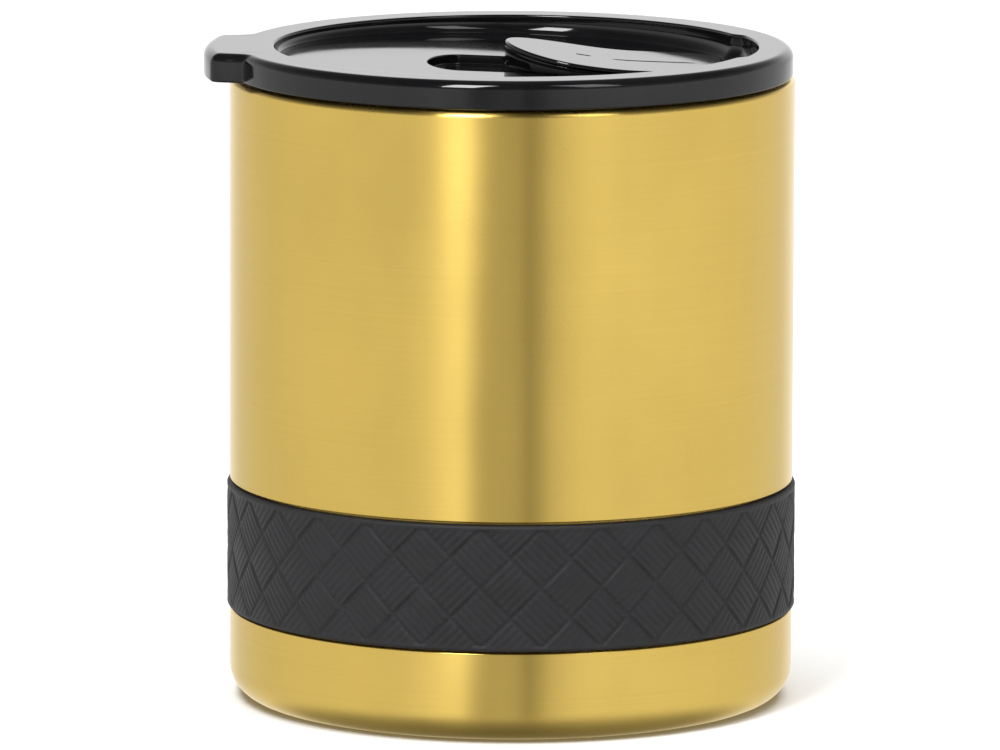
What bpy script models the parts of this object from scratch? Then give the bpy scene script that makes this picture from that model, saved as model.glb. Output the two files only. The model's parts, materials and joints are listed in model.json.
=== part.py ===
"""Double-wall drinks tumbler with a grip band and a press-in lid with a sliding closure.

The origin is the centre of the underside and +Z is up, so the cup's axis is the Z axis. The lid's
thumb tab points along -X and the drinking side faces +X. Sizes are given in millimetres, and the
helper functions turn them into metres when they make a mesh.
"""
import math

import bpy

MM = 0.001
SEGMENTS = 72                  # flats around every large turned piece
GAP = 0.3                      # clearance between pieces that touch

# Driving sizes, millimetres
CUP_RADIUS = 44.5
CUP_HEIGHT = 98.6
WALL = 0.6                     # the outer shell's sheet
LINER_WALL = 0.5
LINER_RADIUS = 39.8            # inside of the mouth
LINER_FLOOR = 9.0
LINER_CORNER = 8.0
BASE_CORNER = 5.0
FOOT_INNER = 37.4              # inner edge of the ring that the shell stands on

BAND_LOW = 14.6
BAND_HIGH = 34.4
BAND_RADIUS = 44.95
GROOVE_RADIUS = CUP_RADIUS - 1.3

LID_LOW = CUP_HEIGHT + 0.4     # underside of the lid's flange
LID_TOP = 103.5
FLANGE_RADIUS = 44.2
TOP_ROUNDING = 1.6             # of the flange's upper outer edge
LOW_ROUNDING = 0.5             # and of its lower one
TAB_REACH = 48.6               # the thumb tab's end, from the axis
TAB_SIDE = (13.8, 18.2)        # degrees from the tab's middle where its side starts and ends
TRAY_RADIUS = 37.5
POCKET_REACH = 38.7            # the tray's bulge on the drinking side
POCKET_SIDE = (18.5, 23.0)
PLUG_RADIUS = 39.2
PLUG_LOW = 88.0
PLUG_BORE = 36.2
SEAL_LOW = 91.2
SEAL_HIGH = 94.6
SEAL_SEAT = 37.6

DECK_HEIGHT = 100.42           # the tray's floor on the axis
DECK_SLOPE = math.radians(2.0)  # the floor falls towards +X
DECK_THICKNESS = 4.0
TRACK_LEFT = -13.4
TRACK_RIGHT = 20.0
TRACK_HALF = 9.6
TRACK_DEPTH = 1.6
TRACK_NOSE = 5.5               # length of the track's rounded end
HOLE_LEFT = 22.3
HOLE_RIGHT = 31.3
HOLE_HALF = 7.0
VENT_PLACE = 14.0

SLIDER_TIP = -1.3
SLIDER_END = 33.0
SLIDER_HALF = 12.35
SLIDER_LIFT = 0.2              # running clearance over the deck
SLIDER_HEIGHT = 1.35
LIP_HEIGHT = 3.95
LIP_ROOT = 19.5                # where the top starts to rise to the lip
LIP_CURL = 1.75                # how late the rise comes; 1 would be a straight ramp
CAP_THIN = 0.5
CAP_THICK = 0.9
SLIDER_TRAVEL = 12.5
MAGNET_PLACE = 8.0
MAGNET_SIDE = 4.5
SLIDER_MAGNET_RADIUS = 2.5
DECK_MAGNET_RADIUS = 2.8
MAGNET_HEIGHT = 1.2
MAGNET_SKIN = 0.6              # plastic left between the track and the deck's magnet pockets


# ---------------------------------------------------------------- scene

def clear_scene():
    for item in list(bpy.data.objects):
        bpy.data.objects.remove(item, do_unlink=True)


def new_collection(name):
    group = bpy.data.collections.new(name)
    bpy.context.scene.collection.children.link(group)
    return group


clear_scene()
PARTS = new_collection("lidded_tumbler")
CUTTERS = new_collection("cutters")


def make_material(name, colour, roughness, metallic=0.0):
    material = bpy.data.materials.new(name)
    material.use_nodes = True
    shader = material.node_tree.nodes["Principled BSDF"]
    shader.inputs["Base Color"].default_value = (*colour, 1.0)
    shader.inputs["Roughness"].default_value = roughness
    shader.inputs["Metallic"].default_value = metallic
    return material


def make_frame(name, height, slope=0.0):
    """An empty that carries the pieces of one moving body."""
    frame = bpy.data.objects.new(name, None)
    PARTS.objects.link(frame)
    frame.location = (0.0, 0.0, height * MM)
    frame.rotation_euler = (0.0, slope, 0.0)
    return frame


def finish_piece(piece, colour, roughness, metallic=0.0, parent=None):
    """Give a piece its material and parent and shade it by angle."""
    piece.data.materials.append(make_material(piece.name + "_material", colour, roughness, metallic))
    piece.data.shade_smooth()
    piece.data.set_sharp_from_angle(angle=math.radians(35.0))
    if parent is not None:
        piece.parent = parent
    return piece


# ---------------------------------------------------------------- outlines

def arc(centre, radius, start, end, steps):
    """Points on an arc, angles in degrees, both ends included."""
    points = []
    for step in range(steps + 1):
        angle = math.radians(start + (end - start) * step / steps)
        points.append((centre[0] + radius * math.cos(angle), centre[1] + radius * math.sin(angle)))
    return points


def circle(radius, centre=(0.0, 0.0), steps=SEGMENTS):
    return arc(centre, radius, 0.0, 360.0 * (steps - 1) / steps, steps - 1)


def rounded_box(left, right, half, corner, steps=4):
    """An outline with four round corners, centred on the X axis."""
    points = arc((right - corner, half - corner), corner, 0.0, 90.0, steps)
    points += arc((left + corner, half - corner), corner, 90.0, 180.0, steps)
    points += arc((left + corner, corner - half), corner, 180.0, 270.0, steps)
    points += arc((right - corner, corner - half), corner, 270.0, 360.0, steps)
    return points


def smooth(low, high, value):
    share = min(max((value - low) / (high - low), 0.0), 1.0)
    return share * share * (3.0 - 2.0 * share)


def bulge_reach(angle, radius, reach, side):
    """Distance from the axis to a round edge that bulges out to reach around angle 0."""
    turn = abs(math.degrees(math.remainder(angle, 2.0 * math.pi)))
    return reach + (radius - reach) * smooth(side[0], side[1], turn)


def flange_reach(angle):
    """The flange is round, with the thumb tab at 180 degrees."""
    return bulge_reach(angle - math.pi, FLANGE_RADIUS, TAB_REACH, TAB_SIDE)


def tray_reach(angle):
    """The tray is round, with a shallow pocket on the drinking side."""
    return bulge_reach(angle, TRAY_RADIUS, POCKET_REACH, POCKET_SIDE)


def polar_outline(reach, fine_centre, inset=0.0):
    """Walk round a polar outline, with closer points within 28 degrees of fine_centre."""
    fine = 28
    coarse = 60
    angles = [fine_centre + step for step in range(-fine, fine)]
    angles += [fine_centre + fine + (360.0 - 2.0 * fine) * step / coarse for step in range(coarse)]
    points = []
    for angle in angles:
        turn = math.radians(angle)
        distance = reach(turn) - inset
        points.append((distance * math.cos(turn), distance * math.sin(turn)))
    return points


def track_outline(left, right, half, nose):
    """The closure's track: an elliptic left end and a square right end."""
    points = []
    for step in range(13):
        angle = math.radians(90.0 + 180.0 * step / 12.0)
        points.append((left + nose + nose * math.cos(angle), half * math.sin(angle)))
    points += [(right, -half), (right, half)]
    return points


def slider_outline(inset):
    """The closure seen from above: a half-round left end and round right corners."""
    half = SLIDER_HALF - inset
    right = SLIDER_END - inset
    points = arc((right - 6.0, 6.0 - half), 6.0, 270.0, 360.0, 5)
    points += arc((right - 6.0, half - 6.0), 6.0, 0.0, 90.0, 5)
    for step in range(25):
        across = half * math.cos(math.pi * step / 24.0)
        nose = SLIDER_TIP + half - half * math.sin(math.pi * step / 24.0)
        points.append((nose + inset, across))
    return points


def lip_share(place):
    """How far the closure's top has risen towards the thumb lip, from 0 to 1."""
    rise = (LIP_ROOT - place) / (LIP_ROOT - SLIDER_TIP)
    return min(max(rise, 0.0), 1.0) ** LIP_CURL


def cap_top(place):
    return SLIDER_HEIGHT + (LIP_HEIGHT - SLIDER_HEIGHT) * lip_share(place)


def cap_bottom(place):
    return cap_top(place) - CAP_THIN - (CAP_THICK - CAP_THIN) * lip_share(place)


def side_profile(low, high):
    """The closure's side view between two heights that are functions of the place along it."""
    places = [SLIDER_TIP + (LIP_ROOT - SLIDER_TIP) * step / 12.0 for step in range(13)]
    places = [SLIDER_TIP - 1.0] + places + [SLIDER_END + 1.0]
    points = [(place, high(place)) for place in places]
    points += [(place, low(place)) for place in reversed(places)]
    return points


# ---------------------------------------------------------------- solids

def turned(name, profile):
    """A solid of revolution; the (radius, height) profile runs down its outer side."""
    on_axis = profile[0][0] == 0.0 and profile[-1][0] == 0.0
    edges = [(index, index + 1) for index in range(len(profile) - 1)]
    if not on_axis:
        edges.append((len(profile) - 1, 0))
    mesh = bpy.data.meshes.new(name)
    mesh.from_pydata([(radius * MM, 0.0, height * MM) for radius, height in profile], edges, [])
    piece = bpy.data.objects.new(name, mesh)
    PARTS.objects.link(piece)
    screw = piece.modifiers.new("turn", "SCREW")
    screw.steps = SEGMENTS
    screw.render_steps = SEGMENTS
    screw.use_merge_vertices = True
    screw.merge_threshold = 0.00001
    return settle(piece)


def settle(piece):
    """Turn an object's evaluated form into its own plain mesh."""
    bpy.context.view_layer.update()
    graph = bpy.context.evaluated_depsgraph_get()
    mesh = bpy.data.meshes.new_from_object(piece.evaluated_get(graph))
    name = piece.name
    settled = bpy.data.objects.new(name + "_settled", mesh)
    settled.matrix_world = piece.matrix_world
    for group in piece.users_collection:
        group.objects.link(settled)
    bpy.data.objects.remove(piece, do_unlink=True)
    settled.name = name
    mesh.name = name
    return settled


def plate(name, outline, low, high):
    """A flat outline in XY given thickness from low to high."""
    curve = bpy.data.curves.new(name, "CURVE")
    curve.dimensions = "2D"
    curve.fill_mode = "BOTH"
    curve.extrude = (high - low) / 2.0 * MM
    spline = curve.splines.new("POLY")
    spline.points.add(len(outline) - 1)
    spline.use_cyclic_u = True
    for point, (x, y) in zip(spline.points, outline):
        point.co = (x * MM, y * MM, 0.0, 1.0)
    piece = bpy.data.objects.new(name, curve)
    PARTS.objects.link(piece)
    piece = settle(piece)
    weld = piece.modifiers.new("weld", "WELD")
    weld.merge_threshold = 0.000001
    piece = settle(piece)
    for vertex in piece.data.vertices:
        vertex.co.z += (low + high) / 2.0 * MM
    return piece


def side_plate(name, outline, half):
    """An outline in the XZ plane given thickness along Y, from -half to half."""
    piece = plate(name, outline, -half, half)
    for vertex in piece.data.vertices:
        x, y, z = vertex.co
        vertex.co = (x, -z, y)
    return piece


def deck_rise(x):
    """Height of the tray's sloping floor, in metres, at x metres."""
    return DECK_HEIGHT * MM - x * math.tan(DECK_SLOPE)


def sloped_plate(name, outline, low, high):
    """A plate whose ends follow the sloping floor; low and high are heights over the floor."""
    piece = plate(name, outline, low, high)
    middle = (low + high) / 2.0 * MM
    for vertex in piece.data.vertices:
        offset = high if vertex.co.z > middle else low
        vertex.co.z = deck_rise(vertex.co.x) + offset * MM
    return piece


def stack(name, rings):
    """A closed solid through (outline, height) rings with equal numbers of points, bottom first."""
    count = len(rings[0][0])
    vertices = []
    for outline, height in rings:
        vertices += [(x * MM, y * MM, height * MM) for x, y in outline]
    top = count * (len(rings) - 1)
    faces = [tuple(reversed(range(count))), tuple(range(top, top + count))]
    for start in range(0, top, count):
        for index in range(count):
            after = (index + 1) % count
            faces.append((start + index, start + after, start + count + after, start + count + index))
    mesh = bpy.data.meshes.new(name)
    mesh.from_pydata(vertices, [], faces)
    piece = bpy.data.objects.new(name, mesh)
    PARTS.objects.link(piece)
    return piece


def on_deck(piece):
    """Place a piece that was drawn on the flat onto the tray's sloping floor."""
    piece.location = (0.0, 0.0, DECK_HEIGHT * MM)
    piece.rotation_euler = (0.0, DECK_SLOPE, 0.0)
    return piece


def combine(piece, tool, operation):
    """Boolean a piece with a tool, which stays in the file as a hidden cutter."""
    for group in list(tool.users_collection):
        group.objects.unlink(tool)
    CUTTERS.objects.link(tool)
    tool.hide_render = True
    tool.display_type = "WIRE"
    step = piece.modifiers.new(tool.name, "BOOLEAN")
    step.operation = operation
    step.solver = "EXACT"
    step.object = tool


def cut(piece, tool):
    combine(piece, tool, "DIFFERENCE")


def join(piece, tool):
    combine(piece, tool, "UNION")


# ---------------------------------------------------------------- cup

def outer_shell():
    """Drawn outer wall: an inward rim shoulder, a groove for the grip band, a rounded foot."""
    inner = CUP_RADIUS - WALL
    rim_inner = LINER_RADIUS + LINER_WALL + GAP
    high = BAND_HIGH + GAP
    low = BAND_LOW - GAP
    shoulder = 0.8
    profile = [(rim_inner, CUP_HEIGHT)]
    profile += arc((CUP_RADIUS - shoulder, CUP_HEIGHT - shoulder), shoulder, 90.0, 0.0, 3)
    profile += [(CUP_RADIUS, high), (GROOVE_RADIUS, high), (GROOVE_RADIUS, low), (CUP_RADIUS, low)]
    profile += arc((CUP_RADIUS - BASE_CORNER, BASE_CORNER), BASE_CORNER, 0.0, -90.0, 6)
    profile += [(FOOT_INNER, 0.0), (FOOT_INNER, WALL)]
    profile += arc((CUP_RADIUS - BASE_CORNER, BASE_CORNER), BASE_CORNER - WALL, -90.0, 0.0, 4)
    profile += [(inner, low - WALL), (GROOVE_RADIUS - WALL, low - WALL)]
    profile += [(GROOVE_RADIUS - WALL, high + WALL), (inner, high + WALL)]
    profile += [(inner, CUP_HEIGHT - WALL), (rim_inner, CUP_HEIGHT - WALL)]
    return finish_piece(turned("outer_shell", profile), (0.75, 0.6, 0.3), 0.3, 1.0)


def inner_liner():
    """The drawn steel cup that holds the drink."""
    outside = LINER_RADIUS + LINER_WALL
    centre = (LINER_RADIUS - LINER_CORNER, LINER_FLOOR + LINER_CORNER)
    profile = [(0.0, LINER_FLOOR)]
    profile += arc(centre, LINER_CORNER, -90.0, 0.0, 6)
    profile += [(LINER_RADIUS, CUP_HEIGHT - 0.3), (LINER_RADIUS + 0.2, CUP_HEIGHT)]
    profile += [(outside, CUP_HEIGHT)]
    profile += arc(centre, LINER_CORNER + LINER_WALL, 0.0, -90.0, 6)
    profile += [(0.0, LINER_FLOOR - LINER_WALL)]
    return finish_piece(turned("inner_liner", profile), (0.7, 0.7, 0.7), 0.3, 1.0)


COVER_THICKNESS = 0.8
BASE_SHEET_LOW = COVER_THICKNESS + GAP
BASE_SHEET_HIGH = BASE_SHEET_LOW + WALL
DIMPLE_RISE = 1.6


def base_cup():
    """Welded bottom of the vacuum space, with an upturned edge and the pump-out dimple."""
    edge = FOOT_INNER - GAP
    rim_height = 4.5
    profile = [(edge, rim_height), (edge, BASE_SHEET_LOW), (6.0, BASE_SHEET_LOW)]
    profile += [(5.0, BASE_SHEET_LOW + DIMPLE_RISE), (1.2, BASE_SHEET_LOW + DIMPLE_RISE)]
    profile += [(1.2, BASE_SHEET_HIGH + DIMPLE_RISE), (5.6, BASE_SHEET_HIGH + DIMPLE_RISE)]
    profile += [(6.8, BASE_SHEET_HIGH), (edge - WALL, BASE_SHEET_HIGH), (edge - WALL, rim_height)]
    return finish_piece(turned("base_cup", profile), (0.6, 0.6, 0.6), 0.4, 1.0)


def base_cover():
    """Flat disc that closes the underside, level with the shell's foot."""
    edge = FOOT_INNER - GAP
    profile = [(0.0, COVER_THICKNESS), (edge, COVER_THICKNESS), (edge, 0.25), (edge - 0.25, 0.0)]
    profile += [(0.0, 0.0)]
    return finish_piece(turned("base_cover", profile), (0.62, 0.62, 0.62), 0.35, 1.0)


def seal_bead():
    """Bead of sealing glass melted under the pump-out hole."""
    low = BASE_SHEET_LOW + 0.1
    high = BASE_SHEET_LOW + DIMPLE_RISE - GAP
    profile = [(0.0, high), (2.0, high - 0.1), (3.2, high - 0.6), (3.0, low + 0.1), (0.0, low)]
    return finish_piece(turned("seal_bead", profile), (0.25, 0.3, 0.28), 0.2)


GETTER_X = 16.0
GETTER_RADIUS = 4.5
GETTER_HEIGHT = 1.8


def getter():
    """Gas-absorbing pill in the vacuum space."""
    low = BASE_SHEET_HIGH + GAP
    piece = plate("getter", circle(GETTER_RADIUS, (GETTER_X, 0.0), 24), low, low + GETTER_HEIGHT)
    return finish_piece(piece, (0.3, 0.3, 0.32), 0.7, 0.6)


def getter_clip():
    """Spot-welded strap that holds the getter down."""
    sheet = 0.35
    foot = BASE_SHEET_HIGH + GAP
    bridge = foot + GETTER_HEIGHT + GAP
    inner = GETTER_RADIUS + GAP
    outer = inner + sheet
    toe = outer + 3.0
    outline = [(-toe, foot), (-inner, foot), (-inner, bridge), (inner, bridge), (inner, foot)]
    outline += [(toe, foot), (toe, foot + sheet), (outer, foot + sheet), (outer, bridge + sheet)]
    outline += [(-outer, bridge + sheet), (-outer, foot + sheet), (-toe, foot + sheet)]
    outline = [(GETTER_X + x, z) for x, z in outline]
    return finish_piece(side_plate("getter_clip", outline, 2.0), (0.6, 0.6, 0.62), 0.4, 1.0)


def grip_band():
    """Moulded sleeve that sits in the shell's groove and stands slightly proud of it."""
    inner = GROOVE_RADIUS + GAP
    edge = 0.45
    profile = [(inner, BAND_HIGH)]
    profile += arc((BAND_RADIUS - edge, BAND_HIGH - edge), edge, 90.0, 0.0, 2)
    profile += arc((BAND_RADIUS - edge, BAND_LOW + edge), edge, 0.0, -90.0, 2)
    profile += [(inner, BAND_LOW)]
    return finish_piece(turned("grip_band", profile), (0.035, 0.035, 0.037), 0.6)


# ---------------------------------------------------------------- lid

def plug_blank():
    """The part of the lid that enters the cup, with the groove for its gasket."""
    profile = [(0.0, LID_LOW + 1.5), (PLUG_RADIUS, LID_LOW + 1.5), (PLUG_RADIUS, SEAL_HIGH)]
    profile += [(SEAL_SEAT, SEAL_HIGH), (SEAL_SEAT, SEAL_LOW), (PLUG_RADIUS, SEAL_LOW)]
    profile += [(PLUG_RADIUS, PLUG_LOW + 0.6), (PLUG_RADIUS - 0.6, PLUG_LOW), (0.0, PLUG_LOW)]
    return turned("plug_blank", profile)


def round_cutter(name, place, side, radius, low, high):
    return on_deck(plate(name, circle(radius, (place, side), 24), low, high))


MAGNET_POCKET_TOP = -TRACK_DEPTH - MAGNET_SKIN


def magnet_places():
    """Where the deck's magnets lie: under the closure's magnets when closed and when open."""
    places = {}
    for state, place in (("closed", MAGNET_PLACE), ("open", MAGNET_PLACE - SLIDER_TRAVEL)):
        for side, offset in (("front", -MAGNET_SIDE), ("back", MAGNET_SIDE)):
            places[state + "_" + side] = (place, offset)
    return places


def lid_top(parent):
    """Flange, thumb tab, sloping tray, track, drinking hole, vent and gasket plug in one moulding."""
    rim = [(LOW_ROUNDING, LID_LOW), (0.0, LID_LOW + LOW_ROUNDING)]
    for angle in (0.0, 30.0, 60.0, 90.0):
        inset = TOP_ROUNDING * (1.0 - math.cos(math.radians(angle)))
        rim.append((inset, LID_TOP - TOP_ROUNDING * (1.0 - math.sin(math.radians(angle)))))
    piece = stack("lid_top", [(polar_outline(flange_reach, 180.0, inset), height) for inset, height in rim])
    join(piece, plug_blank())
    above = LID_TOP - DECK_HEIGHT + 5.0
    cut(piece, sloped_plate("tray_cutter", polar_outline(tray_reach, 0.0), 0.0, above))
    cut(piece, sloped_plate("cavity_cutter", circle(PLUG_BORE), -20.0, -DECK_THICKNESS))
    track = track_outline(TRACK_LEFT, TRACK_RIGHT, TRACK_HALF, TRACK_NOSE)
    cut(piece, on_deck(plate("track_cutter", track, -TRACK_DEPTH, 2.0)))
    hole = rounded_box(HOLE_LEFT, HOLE_RIGHT, HOLE_HALF, 3.0)
    cut(piece, on_deck(plate("hole_cutter", hole, -5.5, 1.5)))
    cut(piece, round_cutter("vent_cutter", VENT_PLACE, 0.0, 1.2, -5.6, 1.0))
    for label, (place, offset) in magnet_places().items():
        radius = DECK_MAGNET_RADIUS + 0.4
        cut(piece, round_cutter("pocket_" + label, place, offset, radius, -5.0, MAGNET_POCKET_TOP))
    return finish_piece(piece, (0.02, 0.02, 0.022), 0.12, 0.0, parent)


def lid_underplate(parent):
    """Disc welded under the deck; it closes the magnet pockets."""
    low = -DECK_THICKNESS - GAP - 1.5
    high = -DECK_THICKNESS - GAP
    piece = sloped_plate("lid_underplate", circle(PLUG_BORE - GAP), low, high)
    hole = rounded_box(HOLE_LEFT - 0.4, HOLE_RIGHT + 0.4, HOLE_HALF + 0.4, 3.0)
    cut(piece, on_deck(plate("under_hole_cutter", hole, -8.0, -3.0)))
    cut(piece, round_cutter("under_vent_cutter", VENT_PLACE, 0.0, 1.6, -8.0, -3.0))
    return finish_piece(piece, (0.03, 0.03, 0.032), 0.3, 0.0, parent)


def lid_gasket(parent):
    """Soft ring with two fins that wipe the liner."""
    tip = LINER_RADIUS - 0.35
    root = 38.7
    inner = SEAL_SEAT + GAP
    high = SEAL_HIGH - GAP
    low = SEAL_LOW + GAP
    middle = (low + high) / 2.0
    profile = [(root, high), (tip, high - 0.4), (tip, high - 0.7), (root, middle + 0.25)]
    profile += [(root, middle - 0.25), (tip, low + 0.7), (tip, low + 0.4), (root, low)]
    profile += [(inner, low), (inner, high)]
    return finish_piece(turned("lid_gasket", profile), (0.06, 0.06, 0.06), 0.5, 0.0, parent)


def magnet(name, place, offset, radius, low, parent):
    """A disc magnet; it is drawn on the flat and stands on the sloping floor."""
    piece = plate(name, circle(radius, (place, offset), 24), low, low + MAGNET_HEIGHT)
    on_deck(piece)
    return finish_piece(piece, (0.5, 0.5, 0.52), 0.3, 1.0, parent)


# ---------------------------------------------------------------- sliding closure

SLIDER_MAGNET_LOW = -0.2


def slider_cap(parent):
    """Thin top plate with a round nose that curls up into the thumb lip."""
    piece = side_plate("slider_cap", side_profile(cap_bottom, cap_top), SLIDER_HALF + 2.0)
    plan = plate("cap_plan", slider_outline(0.0), -5.0, 8.0)
    combine(piece, plan, "INTERSECT")
    return finish_piece(piece, (0.02, 0.02, 0.022), 0.1, 0.0, parent)


def slider_body(parent):
    """Lower moulding, whose wall carries on down from the cap's edge, with a keel in the track."""
    def top(place):
        return cap_bottom(place) - GAP

    def bottom(place):
        return SLIDER_LIFT

    piece = side_plate("slider_body", side_profile(bottom, top), SLIDER_HALF + 2.0)
    plan = plate("body_plan", slider_outline(0.1), -5.0, 8.0)
    combine(piece, plan, "INTERSECT")
    keel = track_outline(0.2, TRACK_RIGHT - 1.0, TRACK_HALF - 0.4, TRACK_NOSE)
    join(piece, plate("keel", keel, -TRACK_DEPTH + GAP, SLIDER_LIFT + 0.3))
    for side, offset in (("front", -MAGNET_SIDE), ("back", MAGNET_SIDE)):
        pocket = circle(SLIDER_MAGNET_RADIUS + 0.4, (MAGNET_PLACE, offset), 24)
        cut(piece, plate("slider_pocket_" + side, pocket, SLIDER_MAGNET_LOW - GAP, LIP_HEIGHT))
    return finish_piece(piece, (0.02, 0.02, 0.022), 0.15, 0.0, parent)


# ---------------------------------------------------------------- assembly

def stand_on_deck(piece):
    """A closure piece is drawn about the closure's own frame, so only its parent places it."""
    piece.location = (0.0, 0.0, 0.0)
    piece.rotation_euler = (0.0, 0.0, 0.0)
    return piece


def place_tools(piece, parent):
    """Let the cutters of a closure piece follow the same frame as the piece."""
    for modifier in piece.modifiers:
        if modifier.type == "BOOLEAN":
            modifier.object.parent = parent


def main():
    outer_shell()
    inner_liner()
    base_cup()
    base_cover()
    seal_bead()
    getter()
    getter_clip()
    grip_band()

    lid_top(None)
    lid_underplate(None)
    lid_gasket(None)
    deck_magnet_low = MAGNET_POCKET_TOP - GAP - MAGNET_HEIGHT
    for label, (place, offset) in magnet_places().items():
        magnet("deck_magnet_" + label, place, offset, DECK_MAGNET_RADIUS, deck_magnet_low, None)

    frame = make_frame("slider_frame", DECK_HEIGHT, DECK_SLOPE)
    for piece in (slider_cap(frame), slider_body(frame)):
        place_tools(piece, frame)
    for side, offset in (("front", -MAGNET_SIDE), ("back", MAGNET_SIDE)):
        name = "slider_magnet_" + side
        disc = magnet(name, MAGNET_PLACE, offset, SLIDER_MAGNET_RADIUS, SLIDER_MAGNET_LOW, frame)
        stand_on_deck(disc)


main()
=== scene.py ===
"""The tumbler's looks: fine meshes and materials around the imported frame.

All lengths are metres in the frame's own axes: the cup's axis is Z, the lid's tab points along -X,
the drinking side faces +X. The tray's floor is called the deck; it falls towards +X by SLOPE.
"""
import json
import math

import bmesh
import bpy
import numpy as np
from mathutils import Matrix, Vector


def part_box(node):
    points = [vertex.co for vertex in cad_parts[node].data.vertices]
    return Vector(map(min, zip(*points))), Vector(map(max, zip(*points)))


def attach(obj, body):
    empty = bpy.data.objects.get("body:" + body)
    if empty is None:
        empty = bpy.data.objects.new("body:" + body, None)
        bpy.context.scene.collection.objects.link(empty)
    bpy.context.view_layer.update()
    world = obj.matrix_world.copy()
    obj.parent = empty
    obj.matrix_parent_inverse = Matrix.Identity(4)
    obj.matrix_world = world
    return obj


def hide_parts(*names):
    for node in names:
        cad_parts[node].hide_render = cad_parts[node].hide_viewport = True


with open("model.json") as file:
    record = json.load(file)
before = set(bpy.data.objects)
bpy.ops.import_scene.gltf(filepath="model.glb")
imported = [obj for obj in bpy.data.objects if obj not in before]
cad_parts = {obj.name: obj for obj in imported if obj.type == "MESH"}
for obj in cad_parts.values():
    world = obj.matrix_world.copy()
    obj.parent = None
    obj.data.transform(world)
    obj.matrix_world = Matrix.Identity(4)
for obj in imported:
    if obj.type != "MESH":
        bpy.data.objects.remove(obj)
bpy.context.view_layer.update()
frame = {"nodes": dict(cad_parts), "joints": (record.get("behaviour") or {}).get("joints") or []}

MM = 0.001
TURN = 2.0 * math.pi

# ---------------------------------------------------------------- places read from the frame

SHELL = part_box("outer_shell")
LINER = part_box("inner_liner")
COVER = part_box("base_cover")
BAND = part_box("grip_band")
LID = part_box("lid_top")
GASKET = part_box("lid_gasket")
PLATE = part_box("lid_underplate")

CUP_RADIUS = SHELL[1].x
CUP_HEIGHT = SHELL[1].z
BAND_RADIUS = BAND[1].x
FLANGE_RADIUS = LID[1].x
TAB_REACH = -LID[0].x
LID_TOP = LID[1].z
COVER_RADIUS = COVER[1].x

SLIDE = next(joint for joint in frame["joints"] if joint["name"] == "slider_slide")
SLOPE = -SLIDE["axis"][2] / SLIDE["axis"][0]

# ---------------------------------------------------------------- sizes that the frame's boxes don't give

WALL = 0.6 * MM
LINER_WALL = 0.5 * MM
LINER_CORNER = 8.0 * MM
BASE_CORNER = 5.0 * MM
GROOVE_DEPTH = 1.3 * MM
FLANGE_LOW = CUP_HEIGHT + 0.4 * MM
FLANGE_LIP = 1.6 * MM
PLUG_RADIUS = 39.2 * MM
PLUG_BORE = 36.2 * MM
SEAL_SEAT = 37.6 * MM
SEAL_MARGIN = 0.3 * MM
TRAY_RADIUS = 37.5 * MM
TRAY_COVE = 0.65
POCKET_REACH = 38.7 * MM
POCKET_SIDE = (18.5, 23.0)
TAB_SIDE = (13.8, 18.2)
DECK_HEIGHT = LID_TOP - 3.08 * MM
DECK_THICKNESS = 4.0 * MM
TRACK_LEFT = -13.4 * MM
TRACK_RIGHT = 20.0 * MM
TRACK_HALF = 9.6 * MM
TRACK_NOSE = 5.5 * MM
TRACK_DEPTH = 1.6 * MM
HOLE_LEFT = 22.3 * MM
HOLE_RIGHT = 31.3 * MM
HOLE_HALF = 7.0 * MM
VENT_PLACE = 14.0 * MM
VENT_RADIUS = 1.2 * MM
SLIDER_TIP = -1.3 * MM
SLIDER_END = 33.0 * MM
SLIDER_HALF = 12.35 * MM
SLIDER_CORNER = 6.0 * MM
SLIDER_LIFT = 0.2 * MM
SLIDER_HEIGHT = 1.35 * MM
LIP_HEIGHT = 3.95 * MM
LIP_ROOT = 19.5 * MM
LIP_CURL = 1.75
CAP_THIN = 0.5 * MM
CAP_THICK = 0.9 * MM
CAP_GAP = 0.3 * MM
BODY_KEEL = -TRACK_DEPTH + 0.3 * MM


def deck(x, y=0.0):
    """Height of the sloping tray floor."""
    return DECK_HEIGHT - x * SLOPE


# ---------------------------------------------------------------- outlines

def rounded(path, closed=False, quarter=6):
    """Turn (x, y, radius) corners into a smooth run of (x, y) points."""
    count = len(path)
    points = []
    for index, (x, y, radius) in enumerate(path):
        corner = Vector((x, y))
        if radius == 0.0 or (not closed and index in (0, count - 1)):
            points.append((x, y))
            continue
        before = (Vector(path[index - 1][:2]) - corner).normalized()
        after = (Vector(path[(index + 1) % count][:2]) - corner).normalized()
        half = before.angle(after) / 2.0
        centre = corner + (before + after).normalized() * radius / math.sin(half)
        start = corner + before * radius / math.tan(half) - centre
        sweep = start.angle_signed(corner + after * radius / math.tan(half) - centre)
        steps = max(2, round(abs(sweep) / (math.pi / 2.0) * quarter))
        for step in range(steps + 1):
            turn = -sweep * step / steps
            cos, sin = math.cos(turn), math.sin(turn)
            points.append((centre.x + start.x * cos - start.y * sin,
                           centre.y + start.x * sin + start.y * cos))
    return points


def smooth(low, high, value):
    share = np.clip((value - low) / (high - low), 0.0, 1.0)
    return share * share * (3.0 - 2.0 * share)


def ease_round(values, width):
    """Blur a ring of values by a Gaussian that is width samples wide."""
    reach = int(width * 3) + 1
    offsets = np.arange(-reach, reach + 1)
    weights = np.exp(-0.5 * (offsets / width) ** 2)
    weights /= weights.sum()
    return sum(np.roll(values, offset) * weight for offset, weight in zip(offsets, weights))


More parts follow.
